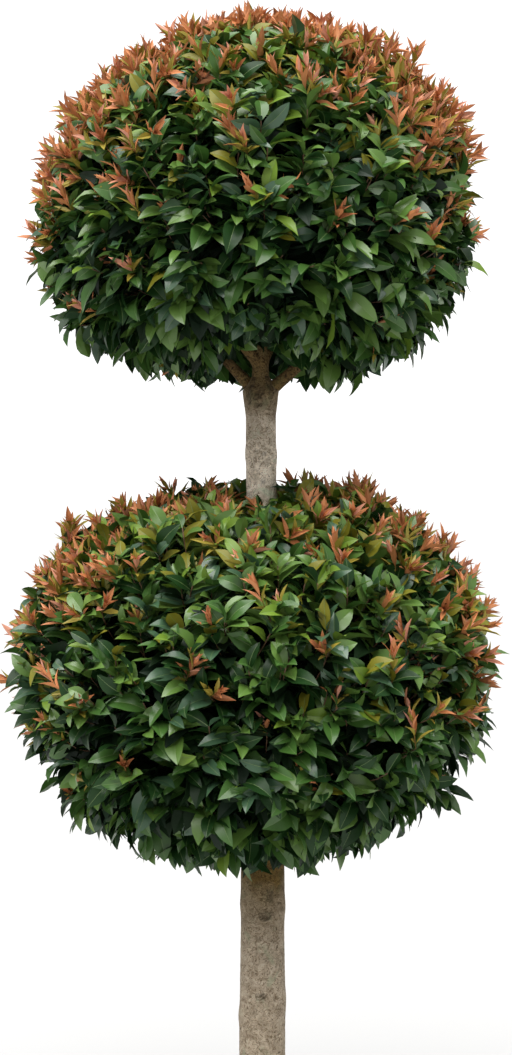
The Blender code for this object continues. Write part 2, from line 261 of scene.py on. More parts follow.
def bark_material(name, pale, mid, dark):
    """Matt bark. A warped noise mixes dark creases, mid-brown and pale scales, a broad one mottles them, a
    finer one's middle values draw each flake's edge as a painted shade beside a painted highlight, and
    another greens patches with lichen. The crease attribute paints shade into the creases. The shaded
    attribute multiplies in olive-brown, mostly painted shade under the heads and round the fork, partly the
    bark's own colour where it stays damp. The scar attribute darkens old cuts, and paints shade into two
    creases at the fork. The same noises raise the surface."""
    made = bpy.data.materials.new(name)
    made.use_nodes = True
    nodes, links = made.node_tree.nodes, made.node_tree.links
    shader = nodes["Principled BSDF"]
    shader.inputs["Roughness"].default_value = 0.86
    shader.inputs["Specular IOR Level"].default_value = 0.25
    place = nodes.new("ShaderNodeTexCoord")

    def noise(scale, detail, distortion):
        """A cloudy value by the place, with so many lumps a metre, finer layers and a twist."""
        node = nodes.new("ShaderNodeTexNoise")
        node.inputs["Scale"].default_value = scale
        node.inputs["Detail"].default_value = detail
        node.inputs["Roughness"].default_value = 0.62
        node.inputs["Distortion"].default_value = distortion
        links.new(place.outputs["Object"], node.inputs["Vector"])
        return node.outputs["Fac"]

    def ramp(value, steps):
        """The colour of a value between steps, each a value and its colour."""
        node = nodes.new("ShaderNodeValToRGB")
        for index, (position, colour) in enumerate(steps):
            stop = node.color_ramp.elements[index] if index < 2 else node.color_ramp.elements.new(position)
            stop.position = position
            stop.color = (*colour, 1.0)
        links.new(value, node.inputs["Fac"])
        return node.outputs["Color"]

    def mixed(kind, share, first, second):
        """The second colour mixed into the first by a share, each a socket or a value."""
        node = nodes.new("ShaderNodeMix")
        node.data_type = "RGBA"
        node.blend_type = kind
        for label, value in (("Factor", share), ("A", first), ("B", second)):
            socket = node.inputs[label]
            if isinstance(value, bpy.types.NodeSocket):
                links.new(value, socket)
            elif isinstance(value, tuple):
                socket.default_value = (*value, 1.0)
            else:
                socket.default_value = value
        return node.outputs["Result"]

    def held(attribute):
        """The value of an attribute of the piece's points."""
        node = nodes.new("ShaderNodeAttribute")
        node.attribute_name = attribute
        return node.outputs["Fac"]

    curls = noise(95.0, 3.0, 3.0)
    scales = ramp(curls, ((0.31, dark), (0.41, mid), (0.54, pale)))
    mottles = ramp(noise(50.0, 5.0, 1.5), ((0.36, (0.70, 0.655, 0.60)), (0.60, (1.12, 1.10, 1.08))))
    toned = mixed("MULTIPLY", 1.0, scales, mottles)
    edges = noise(112.0, 1.0, 1.5)
    # Painted highlights and shade along each flake's edge: a dark line beside a light one.
    painted_flake_light = ramp(edges, ((0.42, (1.05, 1.05, 1.04)), (0.465, (0.40, 0.34, 0.27)),
                          (0.505, (1.22, 1.20, 1.17)), (0.57, (1.04, 1.04, 1.03))))
    toned = mixed("MULTIPLY", 1.0, toned, painted_flake_light)
    lichen = ramp(noise(30.0, 4.0, 0.8), ((0.55, (0.0, 0.0, 0.0)), (0.66, (0.5, 0.5, 0.5))))
    toned = mixed("MIX", lichen, toned, tuple(np.multiply(pale, (0.76, 0.95, 0.80))))
    # Painted shade in the creases.
    toned = mixed("MIX", held("crease"), toned, dark)
    # Painted shade under the heads and round the fork, partly the bark's own olive-brown where damp.
    toned = mixed("MULTIPLY", held("shaded"), toned, (0.128, 0.090, 0.026))
    # Old cuts' own dark wood, and painted shade in two creases at the fork.
    toned = mixed("MIX", held("scar"), toned, (0.034, 0.023, 0.012))
    links.new(toned, shader.inputs["Base Color"])
    normal = None
    for height, distance in ((curls, 0.0030), (edges, 0.0024), (noise(230.0, 5.0, 1.6), 0.0012)):
        bump = nodes.new("ShaderNodeBump")
        bump.inputs["Strength"].default_value = 0.8
        bump.inputs["Distance"].default_value = distance
        links.new(height, bump.inputs["Height"])
        if normal:
            links.new(normal, bump.inputs["Normal"])
        normal = bump.outputs["Normal"]
    links.new(normal, shader.inputs["Normal"])
    return made


bark = bark_material("bark", (0.930, 0.845, 0.728), (0.770, 0.675, 0.550), (0.240, 0.188, 0.127))

height = np.concatenate([np.linspace(low, high, count, endpoint=False) for low, high, count in STEM_ROWS])
height = np.append(height, STEM_TOP)[:, None]
angle = np.arange(STEM_COLUMNS)[None] * (math.tau / STEM_COLUMNS)
height, angle = np.broadcast_arrays(height, angle)
out = np.stack([np.cos(angle), np.sin(angle), np.zeros_like(angle)], axis=-1)
radius = stem_radius(height, angle)
bare = stem_centre(height) + out * radius[..., None]
relief = bark_relief(bare)
# Painted shade in the stem's creases.
crease = crease_shade(relief - relief.mean(), *STEM_CREASES)
scarred = np.zeros_like(radius)
for scar in SCARS:
    across = round_from(scar.azimuth, angle) * radius / scar.size
    upright = (height - scar.height) / (scar.size * scar.tallness)
    wobble = uneven(bare, SCAR_WOBBLE, scar.size * SCAR_WOBBLE_CELL, 12) + uneven(bare, *SCAR_CRUMBLE, 13)
    apart = np.hypot(across, upright) + wobble
    relief = relief + scar.size * (ring(apart, *SCAR_LIP) - ring(apart, *SCAR_HOLLOW))
    dark = ring(apart, *SCAR_DARK_MIDDLE) + ring(apart, *SCAR_DARK_CRACK)
    scarred = np.maximum(scarred, scar.darkness * np.clip(dark, 0.0, 1.0))
for swelling in SWELLINGS:
    around = round_from(swelling.azimuth, angle) / SWELLING_SPREAD_ROUND
    along = (height - swelling.height) / swelling.spread
    relief = relief + swelling.rise * np.exp(-(along**2) - around**2)
relief = relief * np.clip(height / RELIEF_FROM, 0.0, 1.0)
points = bare + out * relief[..., None]
poles = stem_centre(np.array([0.0, STEM_TOP]))
stem_points = np.concatenate([points.reshape(-1, 3), poles])
stem = new_piece("stem_bark", stem_points, tube_triangles(*points.shape[:2]), [bark])
add_values(stem, "scar", np.append(scarred.ravel(), (0.0, 0.0)))
add_values(stem, "crease", np.append(crease.ravel(), (0.0, 0.0)))
# Painted shade by height on the stem, with some olive-brown where the bark stays damp.
streaks = uneven(bare * (1.0, 1.0, 0.35), *STREAKS, 14)
shade_stain = np.interp(height + streaks - SHADE_STAIN_TILT * (np.sin(angle) - SHADE_STAIN_SINE), *zip(*SHADE_STAINS))
add_values(stem, "shaded", np.append(shade_stain.ravel(), (0.0, 1.0)))
stand_for(stem, "stem")

# The boughs leave the stem's fork and carry the upper head. They are young limbs with darker, browner bark,
# partly their own colour and partly painted shade inside the head. They are thick where they join the stem
# and evenly tapered to where the head's own branches leave them.

Bough = namedtuple("Bough", "node leaves_at bend tip root_radius tip_radius")
BOUGHS = (
    Bough("bough_left", 1.199, (-0.031, 0.004, 1.229), (-0.098, 0.012, 1.302), 0.0090, 0.0062),
    Bough("bough_right", 1.200, (0.031, -0.006, 1.220), (0.112, -0.012, 1.300), 0.0092, 0.0062),
    Bough("bough_centre_left", 1.244, (-0.024, -0.016, 1.268), (-0.072, -0.036, 1.316), 0.0078, 0.0056),
    Bough("bough_centre_right", 1.248, (0.018, 0.014, 1.278), (0.046, 0.044, 1.330), 0.0078, 0.0056),
)
BOUGH_ROWS = 70
BOUGH_COLUMNS = 30
# A bough is so much thicker where it starts, and that dies away over this share of its length.
COLLAR = 0.75
COLLAR_LENGTH = 0.14
# The relief under which painted shade darkens a bough's creases, and how dark they get.
BOUGH_CREASES = (-0.0003, 0.6)

# Painted shade: the boughs' bark is darker than the stem's, partly as younger bark and partly as shade.
young_shaded_bark = bark_material("young_shaded_bark", (0.155, 0.101, 0.037), (0.075, 0.047, 0.016), (0.018, 0.011, 0.005))


def curve_points(starts, bends, ends, shares):
    """Points on quadratic curves: each start, bend and end weighted by (1 - t)^2, 2t(1 - t) and t^2."""
    t = shares[..., None]
    return starts * (1.0 - t) ** 2 + bends * (2.0 * t * (1.0 - t)) + ends * t**2


def bough_path(bough, shares):
    """Points on a bough's axis, from the stem's axis by its bend to its tip."""
    start = stem_centre(np.array(bough.leaves_at))
    return curve_points(start, np.array(bough.bend), np.array(bough.tip), shares)


def bough_radius(bough, shares):
    """A bough's even taper, without its collar."""
    return np.interp(shares, (0.0, 1.0), (bough.root_radius, bough.tip_radius))


def tube_points(paths, radii, columns):
    """Points of closed tubes, as an array for each path: rings square to the path, then the two poles."""
    along = unit(np.gradient(paths, axis=1))
    least = np.eye(3)[np.argmin(np.abs(along.mean(axis=1)), axis=1)]
    side = unit(np.cross(along, least[:, None]))
    other = np.cross(along, side)
    angle = np.arange(columns) * (math.tau / columns)
    rings = side[:, :, None] * np.cos(angle)[:, None] + other[:, :, None] * np.sin(angle)[:, None]
    points = paths[:, :, None] + rings * radii[:, :, None, None]
    return np.concatenate([points.reshape(len(paths), -1, 3), paths[:, :1], paths[:, -1:]], axis=1)


share = np.linspace(0.0, 1.0, BOUGH_ROWS)
for bough in BOUGHS:
    path = bough_path(bough, share)
    thick = bough_radius(bough, share) * (1.0 + COLLAR * np.exp(-share / COLLAR_LENGTH))
    points = tube_points(path[None], thick[None], BOUGH_COLUMNS)[0]
    middle = np.concatenate([np.repeat(path, BOUGH_COLUMNS, axis=0), path[:1], path[-1:]])
    relief = bark_relief(points)
    points = points + (points - middle) * (relief / bough.root_radius)[:, None]
    limb = new_piece(bough.node + "_bark", points, tube_triangles(BOUGH_ROWS, BOUGH_COLUMNS), [young_shaded_bark])
    add_values(limb, "scar", np.zeros(len(points)))
    add_values(limb, "shaded", np.zeros(len(points)))
    add_values(limb, "crease", crease_shade(relief, *BOUGH_CREASES))
    stand_for(limb, bough.node)

# Each head is clipped to a flattened ball. Inside it branches leave the stem, or the boughs' tips, and
# divide into smaller ones that reach towards every side, all of thin brown wood.

# The clipped surface is a body of revolution whose profile is a superellipse. A dip is a shallow hollow in
# it, given as an azimuth, an elevation and a spread in degrees, and a depth, below zero where the surface
# swells. Growth is the share of twigs in new growth at five heights, from the foot to the top. The field
# after it is a painted shade that makes more of the leaves dark, on the lower head, in the upper one's
# shade. Hang is how much deeper twigs end at the foot, where their leaves hang.
Head = namedtuple(
    "Head", "node centre half_width rise drop square_top square_foot dips growth age hang seed")
LOWER_HEAD = Head("lower_head", (-0.0115, 0.0, 0.831), 0.349, 0.266, 0.312, 2.2, 2.25,
                  ((-90.0, 74.0, 20.0, 0.026), (180.0, 62.0, 18.0, 0.013), (0.0, 60.0, 18.0, -0.010),
                   (0.0, -46.0, 13.0, 0.022), (180.0, -50.0, 14.0, -0.008), (0.0, -90.0, 30.0, 0.014)),
                  (0.01, 0.035, 0.055, 0.105, 0.11), 0.16, 0.016, 11)
UPPER_HEAD = Head("upper_head", (-0.002, 0.0, 1.467), 0.321, 0.2775, 0.270, 1.85, 2.5,
                  ((-90.0, -60.0, 22.0, 0.058), (90.0, -62.0, 20.0, -0.004), (0.0, -90.0, 20.0, 0.036),
                   (180.0, 58.0, 14.0, 0.008), (0.0, 66.0, 14.0, -0.006), (180.0, -14.0, 20.0, -0.012),
                   (0.0, -20.0, 16.0, 0.010), (180.0, -56.0, 12.0, 0.008)),
                  (0.01, 0.060, 0.14, 0.24, 1.0), 0.0, 0.006, 23)
HEADS = (LOWER_HEAD, UPPER_HEAD)
# How far each of three waves lifts the clipped surface, and the waves' directions, one to a column.
LUMP = 0.0020
LUMP_WAVES = ((7.0, 3.0, -4.0), (-2.0, 8.0, 5.0), (5.0, -3.0, 9.0))
BRANCHES = 46
BRANCH_DEPTH = 0.135
BRANCH_UNEVENNESS = (0.85, 1.15)
BRANCH_RADII = (0.0048, 0.0022)
# How far a branch's bend strays and sags.
BRANCH_STRAY = 0.010
BRANCH_SAG = 0.015
# How clear of the bark of the stem and the boughs twigs and leaves stay.
LIMB_MARGIN = 0.006


def reach(head, ways):
    """How far the clipped surface is from the head's centre along unit directions: a superellipse of
    revolution, less its dips, with low lumps from waves that run three ways."""
    upper = ways[..., 2] > 0.0
    squareness = np.where(upper, head.square_top, head.square_foot)
    half_height = np.where(upper, head.rise, head.drop)
    flat = np.hypot(ways[..., 0], ways[..., 1]) / head.half_width
    surface = (flat**squareness + (np.abs(ways[..., 2]) / half_height) ** squareness) ** (-1.0 / squareness)
    for azimuth, elevation, spread, depth in head.dips:
        a, e = math.radians(azimuth), math.radians(elevation)
        middle = (math.cos(e) * math.cos(a), math.cos(e) * math.sin(a), math.sin(e))
        apart = np.degrees(np.arccos(np.clip(ways @ middle, -1.0, 1.0)))
        surface = surface - ring(apart, depth, 0.0, spread)
    return surface + LUMP * np.sin(ways @ LUMP_WAVES + head.seed).sum(axis=-1)


def depth_of(head, points):
    """How far points lie under the clipped surface, along the lines from the head's centre."""
    away = points - head.centre
    return reach(head, unit(away)) - np.linalg.norm(away, axis=-1)


def under_surface(head, ways, depth):
    """Points at a depth under the clipped surface, in the given directions from the head's centre."""
    return head.centre + ways * (reach(head, ways) - depth)[..., None]


def height_share(head, points):
    """0 at a head's foot, 1 at its top."""
    return (points[:, 2] - head.centre[2] + head.drop) / (head.rise + head.drop)


def outward(head, ways, step=0.03):
    """The clipped surface's outward normals: the cross product of two short steps along it."""
    least = np.eye(3)[np.argmin(np.abs(ways), axis=-1)]
    side = unit(np.cross(ways, least))
    other = np.cross(ways, side)
    here, by_side, by_other = (under_surface(head, near, 0.0)
                               for near in (ways, unit(ways + side * step), unit(ways + other * step)))
    return unit(np.cross(by_side - here, by_other - here))


def sites(count, chance, scatter):
    """Directions spread evenly over a sphere by the golden angle, each moved a little at random."""
    index = np.arange(count)
    level = 1.0 - 2.0 * (index + 0.5) / count
    turn = index * math.pi * (3.0 - math.sqrt(5.0))
    flat = np.sqrt(1.0 - level**2)
    ways = np.stack([flat * np.cos(turn), flat * np.sin(turn), level], axis=-1)
    return unit(ways + chance.uniform(-scatter, scatter, (count, 3)))


def limb_gap(points):
    """How far points are from the bark of the stem or of the nearest bough."""
    height = np.clip(points[..., 2], 0.0, STEM_TOP)
    gap = np.linalg.norm(points - stem_centre(height), axis=-1) - stem_radius(height, 0.0)
    shares = np.linspace(0.0, 1.0, num=14)
    for bough in BOUGHS:
        apart = np.linalg.norm(points[..., None, :] - bough_path(bough, shares), axis=-1)
        gap = np.minimum(gap, (apart - bough_radius(bough, shares)).min(axis=-1))
    return gap


def carriers(head):
    """Points that the head's branches may leave from: along the stem inside it, or along the boughs' outer
    halves and the leader."""
    if head is LOWER_HEAD:
        return stem_centre(np.linspace(0.64, 0.98, num=40))
    limbs = [bough_path(bough, np.linspace(0.55, 1.0, num=12)) for bough in BOUGHS]
    return np.concatenate(limbs + [stem_centre(np.linspace(1.27, STEM_TOP, num=8))])


def nearest(points, to, lift=0.0):
    """The member of `to` nearest each point, each taken as higher by lift, so that limbs rise."""
    apart = np.linalg.norm(points[:, None] - (to[None] + (0.0, 0.0, lift)), axis=-1)
    return to[np.argmin(apart, axis=1)]


def plain(name, colour, roughness, shine=0.5):
    """A finish of one plain colour."""
    made = bpy.data.materials.new(name)
    made.use_nodes = True
    shader = made.node_tree.nodes["Principled BSDF"]
    shader.inputs["Base Color"].default_value = (*colour, 1.0)
    shader.inputs["Roughness"].default_value = roughness
    shader.inputs["Specular IOR Level"].default_value = shine
    return made


def curved_paths(curves, rings):
    """A path of so many points along each curve, given as starts, bends and ends."""
    starts, bends, ends = (places[:, None] for places in curves)
    return curve_points(starts, bends, ends, np.linspace(0.0, 1.0, rings))


def repeated(triangles, points_each, count):
    """The triangles of count like shapes whose points follow on from each other."""
    return (triangles[None] + np.arange(count)[:, None, None] * points_each).reshape(-1, 3)


def tubes(name, paths, radii, material, sides=3):
    """One piece of closed tubes along paths, each evenly tapered from the first radius to the second."""
    count, rings = paths.shape[:2]
    points = tube_points(paths, np.broadcast_to(np.linspace(*radii, rings), (count, rings)), sides)
    triangles = repeated(tube_triangles(rings, sides), points.shape[1], count)
    return new_piece(name, points.reshape(-1, 3), triangles, [material])


wood = plain("branch_wood", (0.085, 0.052, 0.030), 0.75)

branch_ends = {}
for head in HEADS:
    chance = np.random.default_rng(head.seed)
    ways = sites(BRANCHES, chance, scatter=0.10)
    ends = under_surface(head, ways, BRANCH_DEPTH * chance.uniform(*BRANCH_UNEVENNESS, BRANCHES))
    starts = nearest(ends, carriers(head), lift=0.05)
    clear = limb_gap(ends) > LIMB_MARGIN
    starts, ends = starts[clear], ends[clear]
    branch_ends[head.node] = ends
    bends = (starts + ends) / 2 + chance.normal(0.0, BRANCH_STRAY, starts.shape) - (0.0, 0.0, BRANCH_SAG)
    paths = curved_paths((starts, bends, ends), rings=9)
    branches = tubes(head.node + "_branches", paths, BRANCH_RADII, wood, sides=7)
    stand_for(branches, head.node)

# Twigs leave the branches' ends and stand out to just under the clipped surface, bending upwards. They come
# in clumps, as clipping makes them, with gaps between, and are thin, round and red-brown.

TWIGS = 1150
CLUMPS = 250
CLUMP_PULL = 0.32
CLUMP_DEPTH = (-0.004, 0.022)
TWIG_FOOT_DEPTH = (0.088, 0.108)
TWIG_TIP_DEPTH = (0.020, 0.046)
# How much lower a twig starts than it ends, how that strays, and how far it bows out and sags.
TWIG_RISE = 0.16
TWIG_STRAY = 0.04
TWIG_BOW = 0.012
TWIG_SAG = 0.008
# Below this share of a head's height twigs end deeper, by the head's hang at its very foot.
TWIG_HANG_LEVEL = 0.35
INNER_TWIG_STRAY = 0.006
TWIG_RADII = (0.0014, 0.0009)

twig_brown = plain("twig_brown", (0.13, 0.068, 0.036), 0.6)

# Twigs as curves: their starts, bends and ends, and a random turn about each.
Twigs = namedtuple("Twigs", "starts bends ends turns")


def clumped(ways, chance):
    """Directions drawn part of the way to the nearest clump's middle, and that clump's number."""
    middles = sites(CLUMPS, chance, scatter=0.10)
    own = np.argmax(ways @ middles.T, axis=1)
    return unit(ways + (middles[own] - ways) * CLUMP_PULL), own


def grow_twigs(head, chance):
    """Twigs from the branches' ends to clumped sites under the clipped surface. A clump stands out or back
    as one. A twig that would touch a limb is skipped."""
    ways, own = clumped(sites(TWIGS, chance, scatter=0.05), chance)
    lower = unit(ways - (0.0, 0.0, TWIG_RISE) + chance.normal(0.0, TWIG_STRAY, ways.shape))
    starts = under_surface(head, lower, chance.uniform(*TWIG_FOOT_DEPTH, TWIGS))
    depth = chance.uniform(*TWIG_TIP_DEPTH, TWIGS) + chance.uniform(*CLUMP_DEPTH, CLUMPS)[own]
    high = height_share(head, under_surface(head, ways, 0.0))
    depth = depth + head.hang * np.clip(1.0 - high / TWIG_HANG_LEVEL, 0.0, 1.0)
    ends = under_surface(head, ways, depth)
    bends = (starts + ends) / 2 + outward(head, ways) * TWIG_BOW - (0.0, 0.0, TWIG_SAG)
    clear = np.all([limb_gap(places) > LIMB_MARGIN for places in (ends, starts, bends)], axis=0)
    turns = chance.uniform(-math.pi, math.pi, TWIGS)
    return Twigs(starts[clear], bends[clear], ends[clear], turns[clear])


inner_twigs_of = {}
twigs_of = {}
for head in HEADS:
    chance = np.random.default_rng(head.seed + 1)
    grown = grow_twigs(head, chance)
    twigs_of[head.node] = grown
    roots = nearest(grown.starts, branch_ends[head.node])
    bends = (roots + grown.starts) / 2 + chance.normal(0.0, INNER_TWIG_STRAY, roots.shape)
    inner = Twigs(roots, bends, grown.starts, grown.turns)
    inner_twigs_of[head.node] = inner
    inside = curved_paths(inner[:3], rings=4)[:, :-1]
    paths = np.concatenate([inside, curved_paths(grown[:3], rings=5)], axis=1)
    twigs = tubes(head.node + "_twigs", paths, TWIG_RADII, twig_brown)
    stand_for(twigs, head.node)

# The leaves sit on the twigs in opposite pairs, each pair across the last. They are leathery and glossy,
# pointed at both ends, folded along a paler midrib, arched, and hang outwards. The inner ones are old, and
# coloured near-black as painted shade inside the head, but light green as painted light in the crown.

# A leaf's outline: shares of its length, and its half width there as a share of the widest.
LEAF_SHAPE = ((0.0, 0.0), (0.07, 0.27), (0.22, 0.72), (0.40, 0.98), (0.59, 0.97), (0.77, 0.71), (0.91, 0.31),
              (1.0, 0.0))
OLD_LEAF_SHAPE = ((0.0, 0.0), (0.18, 0.66), (0.46, 1.0), (0.78, 0.64), (1.0, 0.0))
INNER_LEAF_SHAPE = ((0.0, 0.0), (0.28, 0.82), (0.60, 0.90), (1.0, 0.0))
# A pair of leaves: its share of the twig, its mean length and its lean from the twig, in degrees.
Pair = namedtuple("Pair", "at length lean")
INNER_PAIRS = (Pair(0.30, 0.064, 76.0), Pair(0.68, 0.064, 76.0))
OLD_PAIRS = (Pair(0.06, 0.056, 74.0), Pair(0.30, 0.054, 70.0))
OUTER_PAIRS = (Pair(0.54, 0.049, 66.0), Pair(0.78, 0.046, 60.0))
YOUNG_PAIRS = (Pair(0.98, 0.039, 48.0),)
PAIR_STRAY = 0.25
LEAN_STRAY = 9.0
LENGTH_STRAY = 0.15
LENGTH_LIMITS = (0.60, 1.22)
LEAF_SLIMNESS = 0.43
WIDTH_UNEVENNESS = (0.85, 1.15)
# How much longer leaves are at a head's foot than at its top.
LEAF_LONGER_BELOW = 0.34
# How far leaves level out sideways: the share of their rise round the twig that is left.
LEAF_LEVELLING = 0.55
# How steeply leaves hang at these shares of the height, and how unevenly. On top they rise.
LEAF_DROOP_LEVELS = (0.10, 0.58, 0.90)
LEAF_DROOP = (0.72, 0.08, -0.34)
DROOP_UNEVENNESS = (0.1, 1.8)
# How far leaves' tips stay under the clipped surface, out of it below zero, with what is added where new
# growth stands on them, and at a head's foot, up to this share of the height.
LEAF_COVER = (-0.008, 0.020)
LEAF_COVER_UNDER_GROWTH = 0.036
LEAF_COVER_AT_FOOT = -0.006
LEAF_COVER_FOOT_LEVEL = 0.20
# What leaves' upper sides turn to: the sky, outwards, a random way and the level way out. The last two have
# one share at a head's foot and another from the second of these levels up.
LEAF_TO_SKY = 0.85
LEAF_TO_OUT = 0.20
LEAF_LEVELS = (0.0, 0.45)
LEAF_TURN = (0.62, 0.40)
LEAF_FACING = (0.62, 0.35)
# Twigs are barer at a head's foot: they keep this share of the outer leaves up to one level, all from the
# next.
KEPT_BELOW = 0.56
KEPT_LEVELS = (0.10, 0.60)
TIP_MARGIN = 0.003
# The fork is open to the front: the opening's middle, across and in height, its half sizes, and how far back
# it reaches. Its shade reaches so many times further and gives dark leaves this weight.
FORK_OPENING = ((-0.004, 1.212), (0.060, 0.048))
FORK_BACK = 0.004
FORK_SHADE_REACH = 1.5
FORK_SHADE = 4.0
# New growth thins out down these shares of the height, and is thicker on the left and right sides.
GROWTH_LEVELS = (0.30, 0.50, 0.60, 0.83, 0.935)
SIDE_GROWTH = 6.5
SIDE_GROWTH_FROM = 0.38
# The midrib's half width, and how much of it is lost by the tip.
RIB_HALF_WIDTH = 0.00042
RIB_TAPER = 0.7
# How unevenly leaves arch and fold, how far they curve aside, and how their edges ripple.
ARCH_UNEVENNESS = (0.4, 1.6)
FOLD_UNEVENNESS = (0.5, 1.4)
SICKLE = 0.07
RIPPLE = 0.13
RIPPLE_TURN = 9.0
RIPPLE_SHIFT = 1.3

rib_green = plain("leaf_rib", (0.120, 0.185, 0.060), 0.45, 0.55)
# Painted shade and light: the near-black inner and old shades stand in for shade inside the head, and the
# light greens, brighter than the outer leaves, for light that reaches the crown's inside.
inner_shades = [plain("leaf_inner", (0.005, 0.010, 0.004), 0.60, 0.05),
                plain("leaf_inner_green", (0.140, 0.200, 0.040), 0.55, 0.20)]
old_shades = [plain("leaf_old", (0.007, 0.018, 0.006), 0.45, 0.10),
              plain("leaf_old_blue", (0.009, 0.020, 0.010), 0.42, 0.18),
              plain("leaf_old_green", (0.115, 0.195, 0.035), 0.42, 0.40)]
# Partly painted light: deep stands in partly for leaves in shade, bright partly for lit and highlighted
# leaves, and grey is a painted sheen of the sky. Green, and lime and olive, the young leaves' colours, are
# their own.
full_shades = [plain("leaf_deep", (0.011, 0.037, 0.008), 0.36, 0.22),
               plain("leaf_green", (0.041, 0.104, 0.018), 0.36, 0.42),
               plain("leaf_bright", (0.082, 0.160, 0.028), 0.36, 0.55),
               plain("leaf_grey_sheen", (0.040, 0.088, 0.044), 0.32, 0.55),
               plain("leaf_lime", (0.128, 0.215, 0.022), 0.42, 0.38),
               plain("leaf_olive", (0.160, 0.150, 0.013), 0.45, 0.28),
               rib_green]


def ribbon_triangles(pairs, first):
    """Triangles of a ribbon that is pointed at both ends: its foot, then pairs of points, then its tip."""
    left = first + 1 + 2 * np.arange(pairs)
    right = left + 1
    tip = first + 1 + 2 * pairs
    return np.concatenate([
        [(first, right[0], left[0])],
        np.stack([left[:-1], right[:-1], right[1:]], axis=-1),
        np.stack([left[:-1], right[1:], left[1:]], axis=-1),
        [(left[-1], right[-1], tip)],
    ])


def blade(shape, with_rib):
    """A leaf's template: for each point its share of the length, its share of the half width and its place
    across the rib, then the triangles, and 1 for each that is on the rib. Left half, right half and rib are
    ribbons."""
    inner = shape[1:-1]
    halves = [((-1.0, -1.0), (0.0, -1.0)), ((0.0, 1.0), (1.0, 1.0))]
    columns = halves + [((0.0, -1.0), (0.0, 1.0))] * with_rib
    rows, triangles, on_rib = [], [], []
    for number, (left, right) in enumerate(columns):
        triangles.append(ribbon_triangles(len(inner), len(rows)))
        on_rib += [number == 2] * len(triangles[-1])
        rows.append((0.0, 0.0, 0.0))
        for along, wide in inner:
            rows += [(along, wide * left[0], left[1]), (along, wide * right[0], right[1])]
        rows.append((1.0, 0.0, 0.0))
    return np.array(rows), np.concatenate(triangles), np.array(on_rib)


# Leaves as arrays: root, way to the tip, upper side, length and half width of each, and its shade's number.
Leaves = namedtuple("Leaves", "roots ways faces lengths half_widths shades")


def leaf_points(leaves, template, arch, fold, rib, chance):
    """Points of the leaves. At a share t of its length a blade lies on its arch, 4t(1 - t) high, and moves
    aside by the sickle's t squared. Its edges fold up in proportion to their distance from the rib and
    ripple."""
    count = len(leaves.roots)
    t, across, by_rib = template[:, 0], template[:, 1], template[:, 2]
    side = np.cross(leaves.ways, leaves.faces)
    bow = 4.0 * t * (1.0 - t)
    arches = (arch * chance.uniform(*ARCH_UNEVENNESS, count) * leaves.lengths)[:, None] * bow
    folds = (fold * chance.uniform(*FOLD_UNEVENNESS, count) * leaves.half_widths)[:, None] * np.abs(across)
    phase = chance.uniform(0.0, math.tau, count)[:, None]
    waves = np.sin(RIPPLE_TURN * t + phase + RIPPLE_SHIFT * np.sign(across))
    ripples = RIPPLE * leaves.half_widths[:, None] * np.abs(across) * waves
    sickle = (chance.normal(0.0, SICKLE, count) * leaves.lengths)[:, None] * t**2
    sideways = leaves.half_widths[:, None] * across + rib * by_rib * (1.0 - RIB_TAPER * t) + sickle
    raised = arches + folds + ripples
    return (leaves.roots[:, None] + leaves.ways[:, None] * (leaves.lengths[:, None] * t)[..., None]
            + side[:, None] * sideways[..., None] + leaves.faces[:, None] * raised[..., None])


def leaf_piece(name, leaves, shape, with_rib, arch, fold, materials, chance):
    """One mesh of like leaves, in their shades, with the rib's material last where they have one."""
    template, triangles, on_rib = blade(shape, with_rib)
    points = leaf_points(leaves, template, arch, fold, RIB_HALF_WIDTH * with_rib, chance)
    shades = np.repeat(leaves.shades[:, None], len(triangles), axis=1)
    shades[:, on_rib] = len(materials) - 1
    faces = repeated(triangles, len(template), len(points))
    return new_piece(name, points.reshape(-1, 3), faces, materials, shades.ravel())


def around_twigs(grown, at):
    """Points on the twigs at a share of their length, with the way each runs there and two ways across
    it."""
    here, ahead = (curve_points(*grown[:3], np.array(share)) for share in (at, at + 0.02))
    along = unit(ahead - here)
    least = np.eye(3)[np.argmin(np.abs(along), axis=-1)]
    side = unit(np.cross(along, least))
    return here, along, side, np.cross(along, side)


def square_to(ways, to):
    """Unit vectors square to the ways: others, less their part along the ways."""
    return unit(to - ways * (to * ways).sum(axis=-1, keepdims=True))


def growth_at(head, points):
    """The share of twigs in new growth at the points' height, on the front and the back."""
    return np.interp(height_share(head, points), GROWTH_LEVELS, head.growth)


def growth_share(head, points):
    """The share of twigs in new growth: by height, and more in proportion to the fourth power of how
    squarely a point faces left or right, except near the stem."""
    out = points - head.centre
    sideways = np.abs(out[:, 0]) / np.hypot(out[:, 0], out[:, 1])
    away = np.minimum(np.abs(out[:, 0]) / (SIDE_GROWTH_FROM * head.half_width), 1.0)
    return np.minimum(growth_at(head, points) * (1.0 + SIDE_GROWTH * sideways**4 * away), 1.0)


def from_fork(points):
    """How far points are from the middle of the fork's opening, seen from the front, in its half sizes."""
    across, height = ((points[:, axis] - middle) / half for axis, middle, half in zip((0, 2), *FORK_OPENING))
    return np.hypot(across, height)


def fork_shade(points):
    """The weight that deep leaves gain near the fork, and 0 elsewhere."""
    return FORK_SHADE * (from_fork(points) < FORK_SHADE_REACH)


def crown_share(head, points):
    """0 up to 0.56 of a head's height, rising evenly to 1 at 0.80 of it."""
    return np.clip(height_share(head, points) - 0.56, 0.0, 0.24) / 0.24


def dealt(weights, chance):
    """A shade's number for each leaf, drawn by the row of weights that the leaf has."""
    weights = np.stack(np.broadcast_arrays(*weights), axis=1)
    steps = np.cumsum(weights / weights.sum(axis=1, keepdims=True), axis=1)
    return (chance.random(len(weights))[:, None] > steps[:, :-1]).sum(axis=1)


